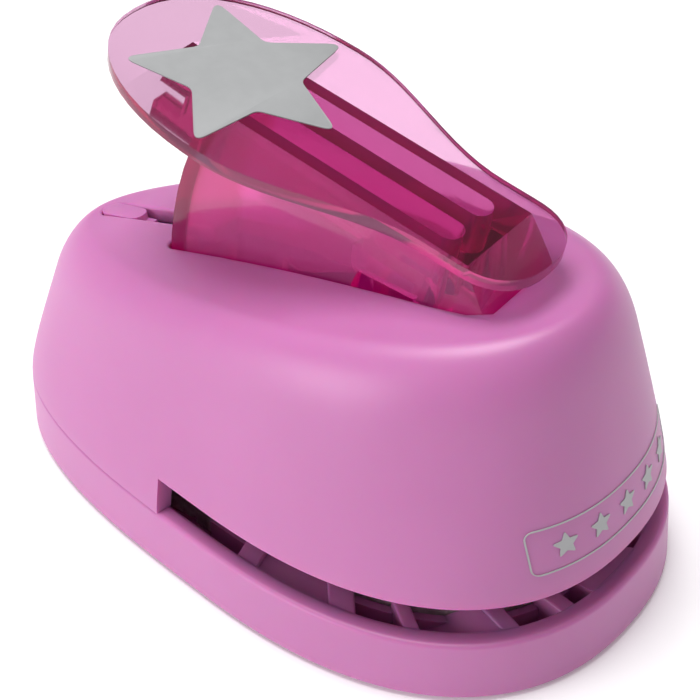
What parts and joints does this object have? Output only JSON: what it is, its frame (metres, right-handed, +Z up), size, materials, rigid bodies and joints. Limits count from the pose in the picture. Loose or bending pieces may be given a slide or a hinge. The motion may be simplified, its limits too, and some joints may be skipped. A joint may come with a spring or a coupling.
{
  "type": "craft punch",
  "caption": "Hand lever punch that cuts a star out of card: translucent press lever, moulded cover, paper throat and base tray.",
  "frame": {"origin": "on the table under the base, midway between its ends and on the plane of symmetry", "axes": "+Z up, +Y towards the back (the lever's free end), +X to the right seen from the front"},
  "size_m": [0.0464, 0.076, 0.0505],
  "materials": {
    "pink_plastic": "satin moulded",
    "clear_magenta": "clear, polished",
    "silver_foil": "matt silver print",
    "die_cast": "as cast, rough",
    "steel": "ground",
    "spring_steel": "drawn wire",
    "bronze": "sintered",
    "white_acetal": "smooth"
  },
  "bodies": {
    "body": {"base_tray": "pink_plastic", "housing_cover": "pink_plastic", "front_label": "silver_foil", "lever_pin": "steel", "pin_retaining_clips": "spring_steel", "pivot_bracket": "steel", "bracket_screws": "steel", "lower_die_casting": "die_cast", "die_plate": "steel", "die_plate_screws": "steel", "upper_guide_casting": "die_cast", "frame_spacers": "steel", "frame_screws": "steel", "guide_pins": "steel", "return_spring_left": "spring_steel", "return_spring_right": "spring_steel", "base_screws": "steel", "cover_screws": "steel", "cover_front_screws": "steel", "lock_keeper_plate": "steel"},
    "lever": {"lever": "clear_magenta", "lever_star_sticker": "silver_foil"},
    "punch": {"star_punch": "steel", "punch_carrier": "die_cast", "punch_screw": "steel", "pusher_cap": "white_acetal", "guide_bushes": "bronze"},
    "lock": {"lever_lock_slide": "pink_plastic"}
  },
  "joints": [
    {"name": "lever_hinge", "type": "hinge", "parent": "body", "child": "lever", "pos_m": [0, -0.026, 0.02165], "axis": [-1, 0, 0], "range_deg": [0, 24], "stiffness_Nm_per_rad": 0.3, "springref_deg": -8.59},
    {"name": "punch_slide", "type": "slide", "parent": "body", "child": "punch", "axis": [0, 0, -1], "range_m": [0, 0.0077], "deforming": ["return_spring_left", "return_spring_right"]},
    {"name": "lock_slide", "type": "slide", "parent": "body", "child": "lock", "axis": [0, -0.977, 0.213], "range_m": [0, 0.0012]}
  ],
  "couplings": [
    {"joint": "punch_slide", "follows": "lever_hinge", "m_per_rad": 0.01838}
  ]
}
